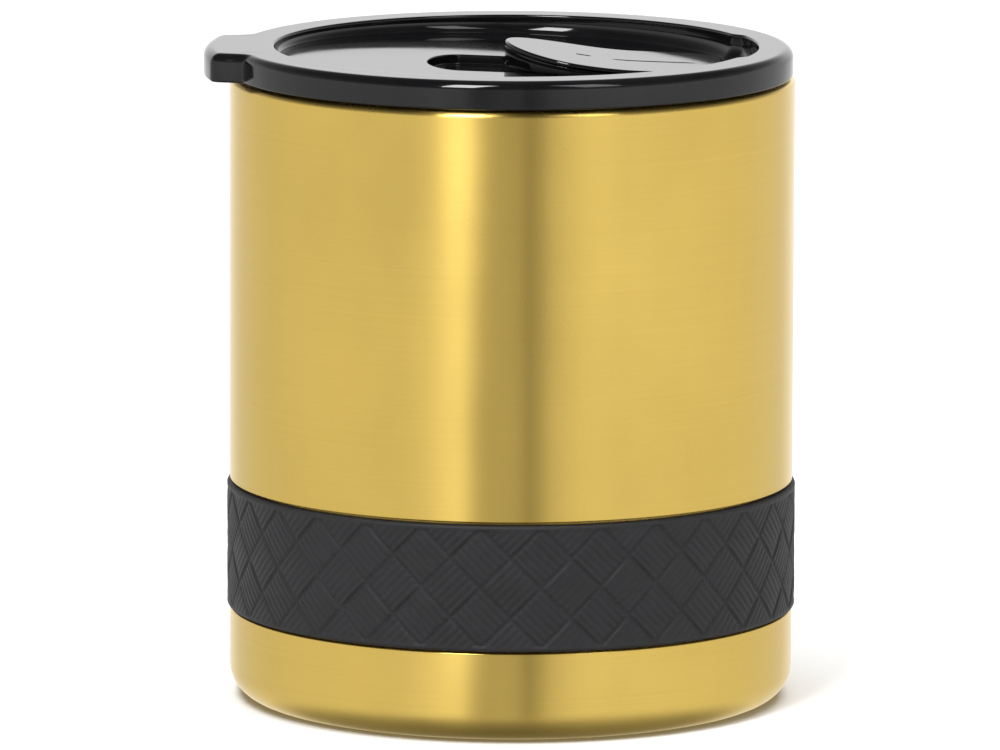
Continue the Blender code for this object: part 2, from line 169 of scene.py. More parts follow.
def polar(reach, count, blur_mm):
    """A closed outline of evenly spaced points from distances to the axis; blur_mm softens its corners."""
    fine = 7200
    angles = np.arange(fine + 1) * TURN / fine
    distances = np.array([reach(angle) for angle in angles[:-1]])
    distances = ease_round(distances, blur_mm * MM * fine / (TURN * TRAY_RADIUS))
    distances = np.append(distances, distances[0])
    points = np.column_stack((distances * np.cos(angles), distances * np.sin(angles)))
    walked = np.append(0.0, np.cumsum(np.linalg.norm(np.diff(points, axis=0), axis=1)))
    stops = np.arange(count) * walked[-1] / count
    return np.column_stack((np.interp(stops, walked, points[:, 0]), np.interp(stops, walked, points[:, 1])))


def bulge_reach(angle, radius, reach, side):
    """Distance from the axis to a round edge that bulges out to reach around angle 0."""
    turn = abs(math.degrees(math.remainder(angle, TURN)))
    return reach + (radius - reach) * float(smooth(side[0], side[1], turn))


def flange_reach(angle):
    """The flange is round, with the thumb tab at 180 degrees."""
    return bulge_reach(angle - math.pi, FLANGE_RADIUS, TAB_REACH, TAB_SIDE)


def tray_reach(angle):
    """The tray is round, with a shallow pocket on the drinking side."""
    return bulge_reach(angle, TRAY_RADIUS, POCKET_REACH, POCKET_SIDE)


def circle(radius, count, centre=(0.0, 0.0)):
    angles = np.arange(count) * TURN / count
    return np.column_stack((centre[0] + radius * np.cos(angles), centre[1] + radius * np.sin(angles)))


def rounded_box(left, right, half, corner):
    path = [(right, half, corner), (left, half, corner), (left, -half, corner), (right, -half, corner)]
    return np.array(rounded(path, closed=True, quarter=10))


def track_outline(left, right, half, nose):
    """An elliptic left end, straight sides and a right end with small corners."""
    points = []
    for step in range(41):
        angle = math.pi / 2.0 + math.pi * step / 40.0
        points.append((left + nose + nose * math.cos(angle), half * math.sin(angle)))
    corner = 1.5 * MM
    for turns, side in ((-1, -1), (0, 1)):
        for step in range(9):
            angle = math.pi / 2.0 * (turns + step / 8.0)
            points.append((right - corner + corner * math.cos(angle),
                           side * (half - corner) + corner * math.sin(angle)))
    return np.array(points)


def push_out(outline, distance):
    """Move an outline that runs counterclockwise along its own normals."""
    along = np.roll(outline, -1, axis=0) - np.roll(outline, 1, axis=0)
    along /= np.linalg.norm(along, axis=1)[:, None]
    normal = np.column_stack((along[:, 1], -along[:, 0]))
    return outline + normal * distance


def ring(outline, distance, height):
    """A ring of points: an outline pushed out by a distance, at a height or on a height function."""
    flat = push_out(outline, distance)
    if callable(height):
        levels = np.array([height(x, y) for x, y in flat])
    else:
        levels = np.full(len(flat), height)
    return np.column_stack((flat, levels))


def above(surface, offset):
    """A height function that stays a given distance over another one."""
    return lambda *place: surface(*place) + offset


# ---------------------------------------------------------------- meshes

def add_skin(work, rings, closed=False):
    """Quads from each ring to the next, whose outer side runs downwards; returns the vertex rings."""
    made = [[work.verts.new(point) for point in points] for points in rings]
    pairs = list(zip(made, made[1:]))
    if closed:
        pairs.append((made[-1], made[0]))
    for upper, lower in pairs:
        count = len(upper)
        for index in range(count):
            after = (index + 1) % count
            work.faces.new((lower[index], lower[after], upper[after], upper[index]))
    return made


def add_fill(work, loops):
    """Close the flat area between loops of vertices."""
    edges = []
    for loop in loops:
        for index, vertex in enumerate(loop):
            other = loop[(index + 1) % len(loop)]
            edges.append(work.edges.get((vertex, other)) or work.edges.new((vertex, other)))
    bmesh.ops.triangle_fill(work, use_beauty=True, use_dissolve=False, edges=edges)


def make_piece(name, work, body, material, replaced=(), sharp=40.0):
    """Turn a bmesh into a smooth-shaded piece that rides on a body."""
    bmesh.ops.remove_doubles(work, verts=work.verts, dist=1e-8)
    bmesh.ops.recalc_face_normals(work, faces=work.faces)
    mesh = bpy.data.meshes.new(name)
    work.to_mesh(mesh)
    work.free()
    mesh.shade_smooth()
    mesh.set_sharp_from_angle(angle=math.radians(sharp))
    mesh.materials.append(material)
    piece = bpy.data.objects.new(name, mesh)
    bpy.context.scene.collection.objects.link(piece)
    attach(piece, body)
    if replaced:
        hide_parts(*replaced)
    return piece


def turned(name, profile, segments, body, material, replaced=()):
    """A solid of revolution from (radius, height) points that run down its outer side."""
    work = bmesh.new()
    unit = circle(1.0, segments)
    rings = []
    for radius, height in profile:
        rings.append(np.column_stack((unit * radius, np.full(segments, height))))
    on_axis = profile[0][0] == 0.0 and profile[-1][0] == 0.0
    add_skin(work, rings, closed=not on_axis)
    return make_piece(name, work, body, material, replaced)


# ---------------------------------------------------------------- materials

def new_material(name):
    """A node material; returns it with its node tree and shader."""
    material = bpy.data.materials.new(name)
    material.use_nodes = True
    tree = material.node_tree
    return material, tree, tree.nodes["Principled BSDF"]


def stretched_noise(tree, scale, detail=4.0, roughness=0.6):
    """Noise on object coordinates with its own scale along each axis."""
    place = tree.nodes.new("ShaderNodeTexCoord")
    mapping = tree.nodes.new("ShaderNodeMapping")
    mapping.inputs["Scale"].default_value = scale
    noise = tree.nodes.new("ShaderNodeTexNoise")
    noise.inputs["Scale"].default_value = 1.0
    noise.inputs["Detail"].default_value = detail
    noise.inputs["Roughness"].default_value = roughness
    tree.links.new(place.outputs["Object"], mapping.inputs["Vector"])
    tree.links.new(mapping.outputs["Vector"], noise.inputs["Vector"])
    return noise


def ramp(tree, source, stops):
    """Map a noise's value onto colours; stops are (position, colour) pairs."""
    node = tree.nodes.new("ShaderNodeValToRGB")
    band = node.color_ramp
    band.elements[0].position = stops[0][0]
    band.elements[0].color = (*stops[0][1], 1.0)
    band.elements[1].position = stops[-1][0]
    band.elements[1].color = (*stops[-1][1], 1.0)
    for position, colour in stops[1:-1]:
        element = band.elements.new(position)
        element.color = (*colour, 1.0)
    tree.links.new(source.outputs["Fac"], node.inputs["Fac"])
    return node


def spread(tree, source, low, high):
    """Map a noise's middle range onto numbers from low to high."""
    node = tree.nodes.new("ShaderNodeMapRange")
    node.inputs["From Min"].default_value = 0.3
    node.inputs["From Max"].default_value = 0.7
    node.inputs["To Min"].default_value = low
    node.inputs["To Max"].default_value = high
    tree.links.new(source.outputs["Fac"], node.inputs["Value"])
    return node


def bump(tree, source, strength, distance, before=None):
    node = tree.nodes.new("ShaderNodeBump")
    node.inputs["Strength"].default_value = strength
    node.inputs["Distance"].default_value = distance
    tree.links.new(source.outputs[0], node.inputs["Height"])
    if before is not None:
        tree.links.new(before.outputs["Normal"], node.inputs["Normal"])
    return node


def brushed_metal(name, dark, light, roughness, line_scale, relief_strength):
    """Metal brushed round the Z axis: fine lines, and highlights drawn out across them."""
    material, tree, shader = new_material(name)
    lines = stretched_noise(tree, (12.0, 12.0, line_scale), detail=6.0, roughness=0.75)
    patches = stretched_noise(tree, (30.0, 30.0, 22.0), detail=3.0)
    colour = ramp(tree, lines, [(0.3, dark), (0.7, light)])
    tree.links.new(colour.outputs["Color"], shader.inputs["Base Color"])
    gloss = spread(tree, patches, roughness - 0.03, roughness + 0.04)
    tree.links.new(gloss.outputs["Result"], shader.inputs["Roughness"])
    shader.inputs["Metallic"].default_value = 1.0
    shader.inputs["Anisotropic"].default_value = 1.0
    shader.inputs["Anisotropic Rotation"].default_value = 0.25
    tangent = tree.nodes.new("ShaderNodeTangent")
    tangent.direction_type = "RADIAL"
    tangent.axis = "Z"
    tree.links.new(tangent.outputs["Tangent"], shader.inputs["Tangent"])
    relief = bump(tree, lines, relief_strength, 0.00002)
    tree.links.new(relief.outputs["Normal"], shader.inputs["Normal"])
    return material


def gloss_plastic():
    """Polished black moulding with a faint waviness and a soft haze in colour and gloss."""
    material, tree, shader = new_material("gloss_black_plastic")
    haze = stretched_noise(tree, (90.0, 90.0, 90.0), detail=5.0)
    colour = ramp(tree, haze, [(0.35, (0.003, 0.003, 0.0035)), (0.65, (0.005, 0.005, 0.0055))])
    tree.links.new(colour.outputs["Color"], shader.inputs["Base Color"])
    gloss = spread(tree, haze, 0.05, 0.09)
    tree.links.new(gloss.outputs["Result"], shader.inputs["Roughness"])
    shader.inputs["IOR"].default_value = 1.5
    waves = stretched_noise(tree, (160.0, 160.0, 160.0), detail=1.0)
    relief = bump(tree, waves, 0.02, 0.0001)
    tree.links.new(relief.outputs["Normal"], shader.inputs["Normal"])
    return material


def silicone(name, dark, light, roughness):
    """Moulded silicone: matte, with a fine cast grain and a little dust."""
    material, tree, shader = new_material(name)
    grain = stretched_noise(tree, (4200.0, 4200.0, 4200.0), detail=3.0)
    dust = stretched_noise(tree, (260.0, 260.0, 260.0), detail=6.0, roughness=0.7)
    colour = ramp(tree, dust, [(0.3, dark), (0.75, light)])
    tree.links.new(colour.outputs["Color"], shader.inputs["Base Color"])
    gloss = spread(tree, dust, roughness - 0.05, roughness + 0.06)
    tree.links.new(gloss.outputs["Result"], shader.inputs["Roughness"])
    shader.inputs["Sheen Weight"].default_value = 0.06
    shader.inputs["Sheen Roughness"].default_value = 0.4
    relief = bump(tree, grain, 0.35, 0.00004)
    tree.links.new(relief.outputs["Normal"], shader.inputs["Normal"])
    return material


def speckled(name, dark, light, roughness, metallic, scale):
    """A cast or plated finish for the small inner pieces."""
    material, tree, shader = new_material(name)
    noise = stretched_noise(tree, (scale, scale, scale), detail=5.0)
    colour = ramp(tree, noise, [(0.35, dark), (0.65, light)])
    tree.links.new(colour.outputs["Color"], shader.inputs["Base Color"])
    gloss = spread(tree, noise, roughness - 0.05, roughness + 0.08)
    tree.links.new(gloss.outputs["Result"], shader.inputs["Roughness"])
    shader.inputs["Metallic"].default_value = metallic
    relief = bump(tree, noise, 0.2, 0.00003)
    tree.links.new(relief.outputs["Normal"], shader.inputs["Normal"])
    return material


GOLD = brushed_metal("brushed_gold_steel", (0.87, 0.61, 0.146), (0.91, 0.645, 0.163), 0.25, 6000.0, 0.03)
STEEL = brushed_metal("brushed_bare_steel", (0.50, 0.49, 0.475), (0.66, 0.65, 0.63), 0.34, 1900.0, 0.05)
PLASTIC = gloss_plastic()
SILICONE = silicone("matte_black_silicone", (0.008, 0.008, 0.0095), (0.015, 0.015, 0.0175), 0.6)
NICKEL = speckled("nickel_plate", (0.50, 0.48, 0.45), (0.62, 0.60, 0.57), 0.22, 1.0, 600.0)
SEAL_GLASS = speckled("sealing_glass", (0.06, 0.09, 0.08), (0.12, 0.16, 0.14), 0.15, 0.0, 900.0)
SINTER = speckled("sintered_alloy", (0.10, 0.10, 0.11), (0.22, 0.22, 0.23), 0.6, 0.7, 3000.0)


# ---------------------------------------------------------------- cup

def outer_shell():
    """The brass-coloured wall: rim shoulder, band groove, rounded foot."""
    inner = CUP_RADIUS - WALL
    rim = LINER[1].x + 0.05 * MM
    high = BAND[1].z + 0.45 * MM
    low = BAND[0].z - 0.3 * MM
    groove = CUP_RADIUS - GROOVE_DEPTH
    foot = COVER_RADIUS + 0.25 * MM
    path = [(rim, CUP_HEIGHT, 0.0), (CUP_RADIUS, CUP_HEIGHT, 0.8 * MM),
            (CUP_RADIUS, high, 0.2 * MM), (groove, high, 0.3 * MM),
            (groove, low, 0.3 * MM), (CUP_RADIUS, low, 0.2 * MM),
            (CUP_RADIUS, 0.0, BASE_CORNER), (foot, 0.0, 0.25 * MM),
            (foot, WALL, 0.0), (inner, WALL, BASE_CORNER - WALL),
            (inner, low - WALL, 0.3 * MM), (groove - WALL, low - WALL, 0.3 * MM),
            (groove - WALL, high + WALL, 0.3 * MM), (inner, high + WALL, 0.3 * MM),
            (inner, CUP_HEIGHT - WALL, 0.3 * MM), (rim, CUP_HEIGHT - WALL, 0.0)]
    turned("gold_shell", rounded(path, closed=True, quarter=10), 288, "cup", GOLD,
           ["outer_shell"])


def inner_liner():
    """The steel cup inside, with a rolled lip and a coved floor."""
    outside = LINER[1].x
    inside = outside - LINER_WALL
    low = LINER[0].z
    floor = low + LINER_WALL
    path = [(0.0, floor, 0.0), (inside, floor, LINER_CORNER), (inside, CUP_HEIGHT, 0.24 * MM),
            (outside, CUP_HEIGHT, 0.24 * MM), (outside, low, LINER_CORNER + LINER_WALL), (0.0, low, 0.0)]
    turned("steel_liner", rounded(path, quarter=12), 240, "cup", STEEL, ["inner_liner"])


def base_cover():
    """The disc under the cup, with a shallow turned ring."""
    high = COVER[1].z
    dip = 0.2 * MM
    path = [(0.0, high, 0.0), (COVER_RADIUS, high, 0.1 * MM), (COVER_RADIUS, 0.0, 0.25 * MM),
            (30.5 * MM, 0.0, 0.15 * MM), (30.0 * MM, dip, 0.15 * MM), (26.5 * MM, dip, 0.15 * MM),
            (26.0 * MM, 0.0, 0.15 * MM), (0.0, 0.0, 0.0)]
    turned("bottom_disc", rounded(path), 192, "cup", STEEL, ["base_cover"])


def weave_height(around, up):
    """Relief of the band: tiles of ribs that run alternately up and down the diagonals."""
    diamonds = 30
    ribs = 6
    tile = TURN * BAND_RADIUS / diamonds / math.sqrt(2.0)
    first = (around + up) / math.sqrt(2.0) / tile
    second = (around - up) / math.sqrt(2.0) / tile
    in_first = first - np.floor(first)
    in_second = second - np.floor(second)
    swap = (np.floor(first) + np.floor(second)) % 2.0 > 0.5
    across = np.where(swap, in_first, in_second)
    along = np.where(swap, in_second, in_first)
    rib = np.sqrt(np.abs(np.sin(math.pi * ribs * across)))
    bow = 1.0 - (2.0 * along - 1.0) ** 2
    border = np.minimum(np.minimum(in_first, 1.0 - in_first), np.minimum(in_second, 1.0 - in_second))
    seam = smooth(0.02, 0.07, border)
    return (0.10 + 0.20 * rib * seam + 0.10 * bow * seam) * MM


def grip_band():
    """The silicone sleeve, with its basket weave as real relief."""
    outer = BAND_RADIUS
    inner = CUP_RADIUS - GROOVE_DEPTH + 0.3 * MM
    low, high = BAND[0].z, BAND[1].z
    count = 1440
    rows = 100
    edge = 0.5 * MM
    plain = 1.1 * MM
    angles = np.arange(count) * TURN / count
    unit = np.column_stack((np.cos(angles), np.sin(angles)))
    middle = (low + high) / 2.0
    rings = []
    for height in np.linspace(high, low, rows):
        margin = min(height - low, high - height)
        curl = edge - math.sqrt(max(edge ** 2 - max(edge - margin, 0.0) ** 2, 0.0))
        fade = float(smooth(edge, plain, margin))
        relief = 0.40 * MM - weave_height(angles * outer, height - middle)
        radius = outer - curl - fade * relief
        rings.append(np.column_stack((unit * radius[:, None], np.full(count, height))))
    for height in (low, high):
        rings.append(np.column_stack((unit * inner, np.full(count, height))))
    work = bmesh.new()
    add_skin(work, rings, closed=True)
    make_piece("woven_grip", work, "cup", SILICONE, ["grip_band"], sharp=70.0)


# ---------------------------------------------------------------- lid

def vault(radius, steps):
    """Quarter of a circle as (how far in, how far down) pairs, from the side to the top."""
    pairs = []
    for step in range(steps + 1):
        angle = math.pi / 2.0 * step / steps
        pairs.append((radius * (1.0 - math.cos(angle)), radius * (1.0 - math.sin(angle))))
    return pairs


def tray_rings(outline, cove_share, lip):
    """From the deck up the tray's wall and over its edge onto the flange's top.

    The cove at the wall's foot takes the given share of the wall's height, which grows down the slope.
    """
    cove = cove_share * (LID_TOP - deck(outline[:, 0]))
    rings = []
    for inward, rise in [(1.1, 0.0)] + vault(1.0, 14)[::-1]:
        flat = push_out(outline, -inward * cove[:, None])
        rings.append(np.column_stack((flat, deck(flat[:, 0]) + rise * cove)))
    for outward, drop in vault(lip, 6):
        rings.append(ring(outline, outward, LID_TOP - drop))
    rings.append(ring(outline, lip + 0.2 * MM, LID_TOP))
    return rings


def flange_rings(outline, lip, low_lip):
    """Over the flange's outer edge, down its side and in under it."""
    rings = [ring(outline, -lip - 0.2 * MM, LID_TOP)]
    for inward, drop in reversed(vault(lip, 14)):
        rings.append(ring(outline, -inward, LID_TOP - drop))
    for inward, rise in vault(low_lip, 4):
        rings.append(ring(outline, -inward, FLANGE_LOW + rise))
    rings.append(ring(outline, -low_lip - 0.2 * MM, FLANGE_LOW))
    return rings


def plug_rings(count):
    """The plug's outside with its gasket groove, its lower edge and its bore."""
    low = LID[0].z
    seal_high = GASKET[1].z + SEAL_MARGIN
    seal_low = GASKET[0].z - SEAL_MARGIN
    path = [(PLUG_RADIUS + 1.0 * MM, FLANGE_LOW, 0.0), (PLUG_RADIUS, FLANGE_LOW, 0.5 * MM),
            (PLUG_RADIUS, seal_high, 0.15 * MM), (SEAL_SEAT, seal_high, 0.2 * MM),
            (SEAL_SEAT, seal_low, 0.2 * MM), (PLUG_RADIUS, seal_low, 0.15 * MM),
            (PLUG_RADIUS, low, 0.8 * MM), (PLUG_BORE, low, 0.6 * MM), (PLUG_BORE, low + 1.5 * MM, 0.0)]
    unit = circle(1.0, count)
    rings = []
    for radius, height in rounded(path, quarter=6):
        rings.append(np.column_stack((unit * radius, np.full(count, height))))
    bore = circle(PLUG_BORE, count)
    ceiling = above(deck, -DECK_THICKNESS)
    rings.append(ring(bore, 0.0, above(ceiling, -0.5 * MM)))
    rings.append(ring(bore, -0.15 * MM, above(ceiling, -0.15 * MM)))
    rings.append(ring(bore, -0.5 * MM, ceiling))
    rings.append(ring(bore, -0.8 * MM, ceiling))
    return rings


def sink_rings(outline, depth, cove, lip):
    """From a recess's floor up its wall and over its edge onto the deck."""
    floor = above(deck, -depth)
    rings = [ring(outline, -cove - 0.12 * MM, floor), ring(outline, -cove, floor)]
    for inward, rise in reversed(vault(cove, 4)[:-1]):
        rings.append(ring(outline, -inward, above(floor, rise)))
    for outward, drop in vault(lip, 4):
        rings.append(ring(outline, outward, above(deck, -drop)))
    rings.append(ring(outline, lip + 0.12 * MM, deck))
    return rings


def hole_rings(outline, depth, start, lip):
    """From the ceiling under the deck up through a hole; start is the hole's rim below the deck."""
    ceiling = above(deck, -depth)
    rim = above(deck, -start)
    rings = [ring(outline, lip + 0.1 * MM, ceiling)]
    for outward, rise in reversed(vault(lip, 3)):
        rings.append(ring(outline, outward, above(ceiling, rise)))
    for outward, drop in vault(lip, 5):
        rings.append(ring(outline, outward, above(rim, -drop)))
    rings.append(ring(outline, lip + 0.1 * MM, rim))
    return rings


def lid_top():
    """Flange, thumb tab, tray, track, drinking hole, vent and plug as one moulding."""
    count = 720
    tray = polar(tray_reach, count, 0.3)
    flange = polar(flange_reach, count, 0.25)
    rings = tray_rings(tray, TRAY_COVE, 0.35 * MM)
    rings += flange_rings(flange, FLANGE_LIP, 0.4 * MM)
    rings += plug_rings(count)
    work = bmesh.new()
    whole = add_skin(work, rings)
    track = track_outline(TRACK_LEFT, TRACK_RIGHT, TRACK_HALF, TRACK_NOSE)
    track_skin = add_skin(work, sink_rings(track, TRACK_DEPTH, 0.3 * MM, 0.18 * MM))
    hole = rounded_box(HOLE_LEFT, HOLE_RIGHT, HOLE_HALF, 3.0 * MM)
    hole_skin = add_skin(work, hole_rings(hole, DECK_THICKNESS, 0.0, 0.5 * MM))
    vent = circle(VENT_RADIUS, 40, (VENT_PLACE, 0.0))
    vent_skin = add_skin(work, hole_rings(vent, DECK_THICKNESS, TRACK_DEPTH, 0.15 * MM))
    add_fill(work, [whole[0], track_skin[-1], hole_skin[-1]])
    add_fill(work, [track_skin[0], vent_skin[-1]])
    add_fill(work, [whole[-1], hole_skin[0], vent_skin[0]])
    make_piece("gloss_lid", work, "lid", PLASTIC, ["lid_top"])


def lid_underplate():
    """The disc under the deck, with a rounded edge and its own hole and vent."""
    top = above(deck, -DECK_THICKNESS - 0.3 * MM)
    bottom = above(deck, -DECK_THICKNESS - 1.8 * MM)
    outline = circle(PLATE[1].x, 360)
    lip = 0.4 * MM
    rings = [ring(outline, -lip - 0.1 * MM, top), ring(outline, -lip, top)]
    for inward, drop in reversed(vault(lip, 4)[:-1]):
        rings.append(ring(outline, -inward, above(top, -drop)))
    for inward, rise in vault(lip, 4):
        rings.append(ring(outline, -inward, above(bottom, rise)))
    rings.append(ring(outline, -lip - 0.1 * MM, bottom))
    work = bmesh.new()
    disc = add_skin(work, rings)
    grown = 0.4 * MM
    hole = rounded_box(HOLE_LEFT - grown, HOLE_RIGHT + grown, HOLE_HALF + grown, 3.0 * MM)
    vent = circle(VENT_RADIUS + grown, 40, (VENT_PLACE, 0.0))
    tops, bottoms = [disc[0]], [disc[-1]]
    for opening in (hole, vent):
        rim = [ring(opening, 0.1 * MM, bottom), ring(opening, 0.0, above(bottom, 0.1 * MM)),
               ring(opening, 0.0, above(top, -0.1 * MM)), ring(opening, 0.1 * MM, top)]
        skin = add_skin(work, rim)
        tops.append(skin[-1])
        bottoms.append(skin[0])
    add_fill(work, tops)
    add_fill(work, bottoms)
    make_piece("deck_underplate", work, "lid", PLASTIC, ["lid_underplate"])


def lid_gasket():
    """Soft ring with two wiping fins."""
    high, low = GASKET[1].z, GASKET[0].z
    tip = GASKET[1].x
    root = tip - 0.75 * MM
    inner = SEAL_SEAT + 0.1 * MM
    middle = (high + low) / 2.0
    path = [(root, high, 0.1 * MM), (tip, high - 0.4 * MM, 0.12 * MM), (tip, high - 0.7 * MM, 0.12 * MM),
            (root, middle + 0.25 * MM, 0.2 * MM), (root, middle - 0.25 * MM, 0.2 * MM),
            (tip, low + 0.7 * MM, 0.12 * MM), (tip, low + 0.4 * MM, 0.12 * MM), (root, low, 0.1 * MM),
            (inner, low, 0.15 * MM), (inner, high, 0.15 * MM)]
    turned("wiping_gasket", rounded(path, closed=True, quarter=4), 240, "lid", SILICONE,
           ["lid_gasket"])


# ---------------------------------------------------------------- sliding closure

def lip_share(place):
    """How far the closure's top has risen towards the thumb lip, from 0 to 1."""
    return np.clip((LIP_ROOT - place) / (LIP_ROOT - SLIDER_TIP), 0.0, 1.0) ** LIP_CURL


def cap_top(place):
    return SLIDER_HEIGHT + (LIP_HEIGHT - SLIDER_HEIGHT) * lip_share(place)


def cap_bottom(place):
    return cap_top(place) - CAP_THIN - (CAP_THICK - CAP_THIN) * lip_share(place)


def half_plan(inset):
    """Half of the closure's plan, from its right end to its round left tip, as (along, across) points."""
    half = SLIDER_HALF - inset
    right = SLIDER_END - inset
    tip = SLIDER_TIP + inset
    corner = SLIDER_CORNER - inset
    points = []
    for step in range(11):
        angle = math.pi / 2.0 * step / 10.0
        points.append((right - corner + corner * math.cos(angle), half - corner + corner * math.sin(angle)))
    for step in range(1, 24):
        share = step / 24.0
        points.append((right - corner + (tip + half - right + corner) * share, half))
    for step in range(40):
        angle = math.pi / 2.0 * step / 40.0
        points.append((tip + half - half * math.sin(angle), half * math.cos(angle)))
    return points


def slider_point(along, across, rise):
    """From the closure's own frame, which lies on the deck, to the world's."""
    slope = math.atan(SLOPE)
    return (along * math.cos(slope) + rise * math.sin(slope), across,
            DECK_HEIGHT - along * math.sin(slope) + rise * math.cos(slope))


def plan_ring(inset, rise):
    """A ring round the closure; rise is a function of the place along it."""
    side = half_plan(inset)
    whole = side + [(along, -across) for along, across in reversed(side)]
    return [slider_point(along, across, float(rise(along))) for along, across in whole]


def add_ladder(work, loop, columns, inset, rise):
    """Fill a plan ring with rows from one side to the other, so that the fill follows the surface."""
    side = half_plan(inset)
    rows = []
    for index, (along, across) in enumerate(side):
        row = [loop[index]]
        for column in range(1, columns):
            place = across - 2.0 * across * column / columns
            row.append(work.verts.new(slider_point(along, place, float(rise(along)))))
        row.append(loop[2 * len(side) - 1 - index])
        rows.append(row)
    for near, far in zip(rows, rows[1:]):
        for column in range(columns):
            corners = (near[column], near[column + 1], far[column + 1], far[column])
            if len(set(corners)) == 4:
                work.faces.new(corners)


def slider_cap():
    """The thin top plate, curled up into the thumb lip."""
    edge_top = 0.42 * MM
    edge_low = 0.03 * MM
    rings = []
    deepest = edge_top + 0.15 * MM
    rings.append(plan_ring(deepest, cap_top))
    for inward, drop in reversed(vault(edge_top, 5)):
        rings.append(plan_ring(inward, above(cap_top, -drop)))
    for inward, rise in vault(edge_low, 3):
        rings.append(plan_ring(inward, above(cap_bottom, rise)))
    low_inset = edge_low + 0.1 * MM
    rings.append(plan_ring(low_inset, cap_bottom))
    work = bmesh.new()
    made = add_skin(work, rings)
    add_ladder(work, made[0], 16, deepest, cap_top)
    add_ladder(work, made[-1], 16, low_inset, cap_bottom)
    make_piece("closure_cap", work, "slider", PLASTIC, ["slider_cap"])


def slider_body():
    """The lower moulding; its wall carries on from the cap's, under a groove that fades at the lip."""
    def top(place):
        return cap_bottom(place) - CAP_GAP * (1.05 - lip_share(place))

    def bottom(place):
        return SLIDER_LIFT

    edge = 0.04 * MM
    deepest = 0.2 * MM
    rings = [plan_ring(deepest, top)]
    for inward, drop in reversed(vault(edge, 4)):
        rings.append(plan_ring(inward, above(top, -drop)))
    for inward, rise in vault(edge, 3):
        rings.append(plan_ring(inward, above(bottom, rise)))
    rings.append(plan_ring(deepest, bottom))
    work = bmesh.new()
    made = add_skin(work, rings)
    add_ladder(work, made[0], 12, deepest, top)
    add_ladder(work, made[-1], 12, deepest, bottom)
    make_piece("closure_body", work, "slider", PLASTIC, ["slider_body"])


def slider_keel():
    """The keel under the closure that runs in the track."""
    outline = track_outline(0.2 * MM, TRACK_RIGHT - 1.0 * MM, TRACK_HALF - 0.4 * MM, TRACK_NOSE)
    high = SLIDER_LIFT + 0.1 * MM
    low = BODY_KEEL
    levels = [(-0.4, high), (0.0, high), (0.0, low + 0.2 * MM), (-0.2, low), (-0.4, low)]
    work = bmesh.new()
    rings = []
    for inset, rise in levels:
        flat = push_out(outline, inset * MM)
        rings.append([slider_point(x, y, rise) for x, y in flat])
    made = add_skin(work, rings)
    add_fill(work, [made[0]])
    add_fill(work, [made[-1]])
    make_piece("closure_keel", work, "slider", PLASTIC)


def slider_marks():
    """Two plain moulded ribs on the closure's top: a short dash and a long line."""
    work = bmesh.new()
    for start, end, across, width in ((9.9, 12.3, 0.5, 0.6), (15.5, 29.0, -0.3, 0.34)):
        rings = []
        steps = 24
        for step in range(steps + 1):
            along = (start + (end - start) * step / steps) * MM
            swell = math.sqrt(max(1.0 - (2.0 * step / steps - 1.0) ** 8, 0.0004))
            points = []
            for corner in range(12):
                angle = TURN * corner / 12.0
                side = across * MM + width / 2.0 * MM * swell * math.cos(angle)
                rise = float(cap_top(along)) + 0.07 * MM * swell * math.sin(angle)
                points.append(slider_point(along, side, rise))
            rings.append(points)
        made = add_skin(work, rings)
        work.faces.new(made[0])
        work.faces.new(made[-1])
    make_piece("closure_marks", work, "slider", PLASTIC)


def finish_inner_nodes():
    """The CAD nodes that stay in sight only when the object is taken apart get their materials."""
    finishes = {"base_cup": STEEL, "getter_clip": STEEL, "getter": SINTER, "seal_bead": SEAL_GLASS}
    for name, node in frame["nodes"].items():
        material = NICKEL if "magnet" in name else finishes.get(name)
        if material is not None:
            node.data.materials.clear()
            node.data.materials.append(material)


# ---------------------------------------------------------------- studio

CAMERA_DISTANCE = 40.0 * CUP_RADIUS
CAMERA_ELEVATION = math.radians(9.06)
CAMERA_ROLL = math.radians(0.2)
CAMERA_LENS = 405.4
CAMERA_SHIFT = (-0.0115, -0.0100)
AIM_HEIGHT = 1.18 * CUP_RADIUS
LIGHT_DISTANCE = 1.6
STRIP_ELEVATION = 53.0
STRIP_HEIGHT = 0.8


def add_camera():
    """A long lens a little above the cup, level with its front."""
    data = bpy.data.cameras.new("camera")
    data.lens = CAMERA_LENS
    data.sensor_width = 36.0
    data.clip_start = 0.05
    data.clip_end = 50.0
    data.shift_x, data.shift_y = CAMERA_SHIFT
    camera = bpy.data.objects.new("camera", data)
    bpy.context.scene.collection.objects.link(camera)
    camera.location = (0.0, -CAMERA_DISTANCE * math.cos(CAMERA_ELEVATION),
                       AIM_HEIGHT + CAMERA_DISTANCE * math.sin(CAMERA_ELEVATION))
    tilt = Matrix.Rotation(math.pi / 2.0 - CAMERA_ELEVATION, 4, "X") @ Matrix.Rotation(CAMERA_ROLL, 4, "Z")
    camera.rotation_euler = tilt.to_euler()
    bpy.context.scene.camera = camera


def add_floor():
    """A plain pale floor, large enough to have no edge in sight; reflections see past it."""
    bpy.ops.mesh.primitive_plane_add(size=30.0, location=(0.0, 0.0, -0.0001))
    floor = bpy.context.object
    floor.name = "floor"
    floor.visible_glossy = False
    material, tree, shader = new_material("pale_floor")
    shader.inputs["Base Color"].default_value = (0.9, 0.9, 0.9, 1.0)
    shader.inputs["Roughness"].default_value = 0.9
    shader.inputs["Specular IOR Level"].default_value = 0.0
    floor.data.materials.append(material)


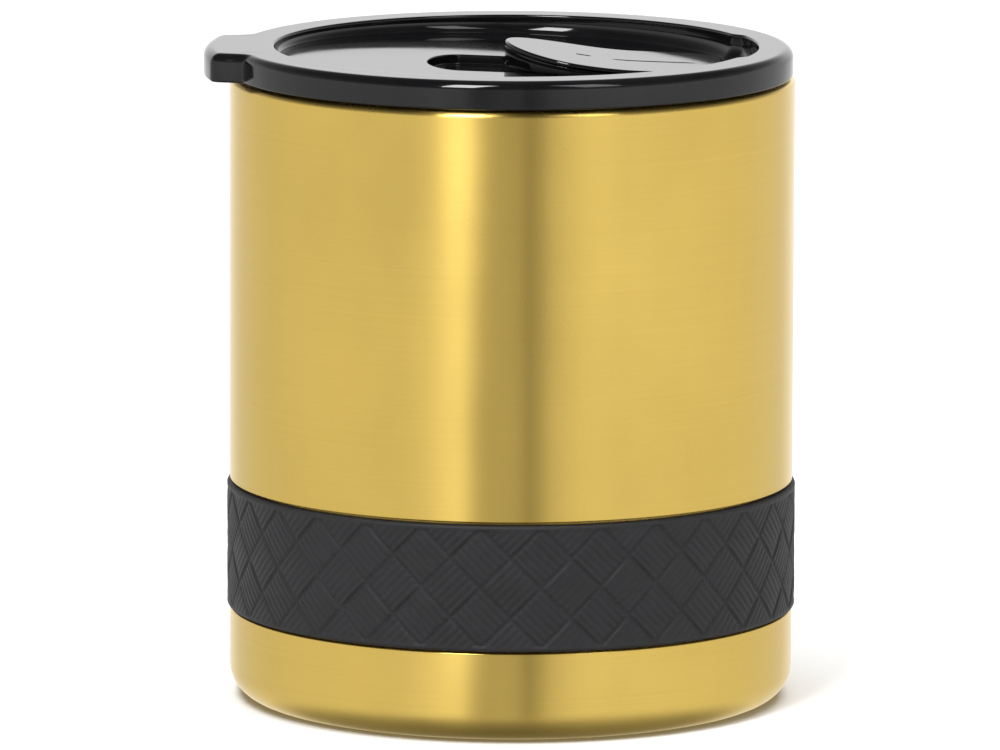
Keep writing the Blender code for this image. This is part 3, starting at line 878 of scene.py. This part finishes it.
def add_softbox(name, azimuth, elevation, distance, width, height, radiance):
    """A rectangular light that faces the cup; azimuth 0 is the camera's side, positive to +X."""
    data = bpy.data.lights.new(name, "AREA")
    data.shape = "RECTANGLE"
    data.size = width
    data.size_y = height
    data.energy = radiance * width * height * math.pi
    light = bpy.data.objects.new(name, data)
    bpy.context.scene.collection.objects.link(light)
    turn, lift = math.radians(azimuth), math.radians(elevation)
    back = Vector((math.sin(turn) * math.cos(lift), -math.cos(turn) * math.cos(lift), math.sin(lift)))
    light.location = back * distance + Vector((0.0, 0.0, AIM_HEIGHT))
    light.rotation_euler = back.to_track_quat("Z", "Y").to_euler()
    return light


def grey_ramp(tree, source, stops):
    """Map a share of a range of angles onto grey levels; stops are (angle, level) pairs over that range."""
    node = tree.nodes.new("ShaderNodeValToRGB")
    elements = node.color_ramp.elements
    while len(elements) < len(stops):
        elements.new(0.5)
    low, high = stops[0][0], stops[-1][0]
    for element, (angle, level) in zip(elements, stops):
        element.position = (angle - low) / (high - low)
        element.color = (level, level, level, 1.0)
    tree.links.new(source, node.inputs["Fac"])
    return node.outputs["Color"]


def to_share(tree, source, low, high):
    """Map a value from low..high onto 0..1."""
    node = tree.nodes.new("ShaderNodeMapRange")
    node.inputs["From Min"].default_value = low
    node.inputs["From Max"].default_value = high
    tree.links.new(source, node.inputs["Value"])
    return node.outputs["Result"]


# Brightness of the room by azimuth, in degrees from the camera's side towards +X, at eye level;
# the window-like step at -20 and the dark gap at 7 are what draw the streaks on the brushed wall
ROOM_AROUND = [(-180, 1.2), (-150, 0.78), (-120, 0.74), (-95, 0.83), (-69, 0.9), (-45, 0.9), (-36, 0.98),
               (-31, 1.05), (-20, 0.88), (-16, 0.5), (-12, 0.4), (-4, 0.56), (3, 0.56), (7, 0.35),
               (12, 0.54), (17, 0.82), (24, 0.93), (38, 1.0), (54, 1.04), (84, 0.92), (114, 0.83),
               (145, 0.8), (180, 1.2)]
# and by height, in degrees above the horizon, as a share of that
ROOM_UP = [(-90, 0.0), (-42, 0.05), (-20, 0.9), (12, 1.0), (24, 0.35), (40, 0.12), (90, 0.08)]
# Brightness of the table's top, by height below the horizon
ROOM_TABLE = [(-90, 0.12), (-50, 0.2), (-30, 0.4), (-18, 0.0), (90, 0.0)]


def add_world():
    """A soft white room, dimmer behind the camera and dark overhead, over a pale table."""
    world = bpy.data.worlds.new("studio")
    bpy.context.scene.world = world
    world.use_nodes = True
    tree = world.node_tree
    background = tree.nodes["Background"]
    place = tree.nodes.new("ShaderNodeTexCoord")
    parts = tree.nodes.new("ShaderNodeSeparateXYZ")
    tree.links.new(place.outputs["Generated"], parts.inputs["Vector"])
    front = tree.nodes.new("ShaderNodeMath")
    front.operation = "MULTIPLY"
    front.inputs[1].default_value = -1.0
    tree.links.new(parts.outputs["Y"], front.inputs[0])
    azimuth = tree.nodes.new("ShaderNodeMath")
    azimuth.operation = "ARCTAN2"
    tree.links.new(parts.outputs["X"], azimuth.inputs[0])
    tree.links.new(front.outputs["Value"], azimuth.inputs[1])
    height = tree.nodes.new("ShaderNodeMath")
    height.operation = "ARCSINE"
    tree.links.new(parts.outputs["Z"], height.inputs[0])
    around_share = to_share(tree, azimuth.outputs["Value"], -math.pi, math.pi)
    up_share = to_share(tree, height.outputs["Value"], -math.pi / 2.0, math.pi / 2.0)
    around = grey_ramp(tree, around_share, ROOM_AROUND)
    up = grey_ramp(tree, up_share, ROOM_UP)
    table = grey_ramp(tree, up_share, ROOM_TABLE)
    level = tree.nodes.new("ShaderNodeMath")
    level.operation = "MULTIPLY_ADD"
    for index, source in enumerate((around, up, table)):
        tree.links.new(source, level.inputs[index])
    tree.links.new(level.outputs["Value"], background.inputs["Color"])
    background.inputs["Strength"].default_value = 1.0


def add_studio():
    add_camera()
    add_floor()
    add_world()
    add_softbox("strip_left", -25.0, STRIP_ELEVATION, LIGHT_DISTANCE, 0.34, STRIP_HEIGHT, 16.0)
    add_softbox("box_right", 42.0, STRIP_ELEVATION, LIGHT_DISTANCE, 0.4, STRIP_HEIGHT, 3.0)
    floor_light = add_softbox("floor_light", 0.0, 90.0, 2.0, 2.4, 2.4, 3.6)
    floor_light.visible_glossy = False
    bpy.context.scene.view_settings.view_transform = "Standard"


# ---------------------------------------------------------------- the whole

add_studio()
outer_shell()
inner_liner()
base_cover()
grip_band()
lid_top()
lid_underplate()
lid_gasket()
slider_cap()
slider_body()
slider_keel()
slider_marks()
finish_inner_nodes()
